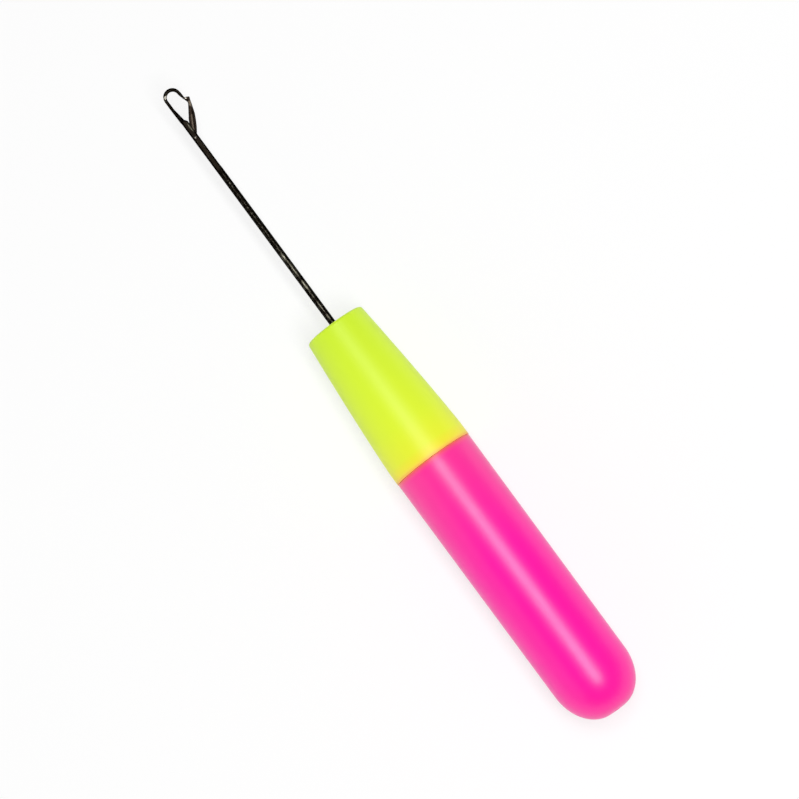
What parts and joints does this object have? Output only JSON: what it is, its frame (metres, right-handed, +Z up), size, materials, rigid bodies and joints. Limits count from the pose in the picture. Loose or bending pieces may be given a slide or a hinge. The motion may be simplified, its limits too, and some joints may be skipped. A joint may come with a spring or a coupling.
{
  "type": "crochet braid needle",
  "caption": "Latch-hook needle for crochet braids: a thin steel stem with a swinging latch at its hook, set in a round tapered two-piece plastic handle with a domed butt.",
  "frame": {"origin": "under the middle of the tool's length, on the plane that the tool lies on", "axes": "+X along the tool from the butt to the crown of the hook; +Z up; the hook's plane is level and its mouth opens towards -Y"},
  "size_m": [0.165, 0.0188, 0.0188],
  "materials": {
    "barrel_plastic": "satin",
    "nose_plastic": "satin",
    "needle_steel": "satin",
    "latch_steel": "satin",
    "rivet_steel": "polished"
  },
  "bodies": {
    "handle": {"barrel": "barrel_plastic", "nose": "nose_plastic", "needle": "needle_steel", "hook": "needle_steel", "latch_rivet": "rivet_steel"},
    "latch": {"latch": "latch_steel"}
  },
  "joints": [
    {"name": "latch_hinge", "type": "hinge", "parent": "handle", "child": "latch", "pos_m": [0.07049, 0.0001, 0.0094], "axis": [0, 0, -1], "range_deg": [0, 143]}
  ]
}
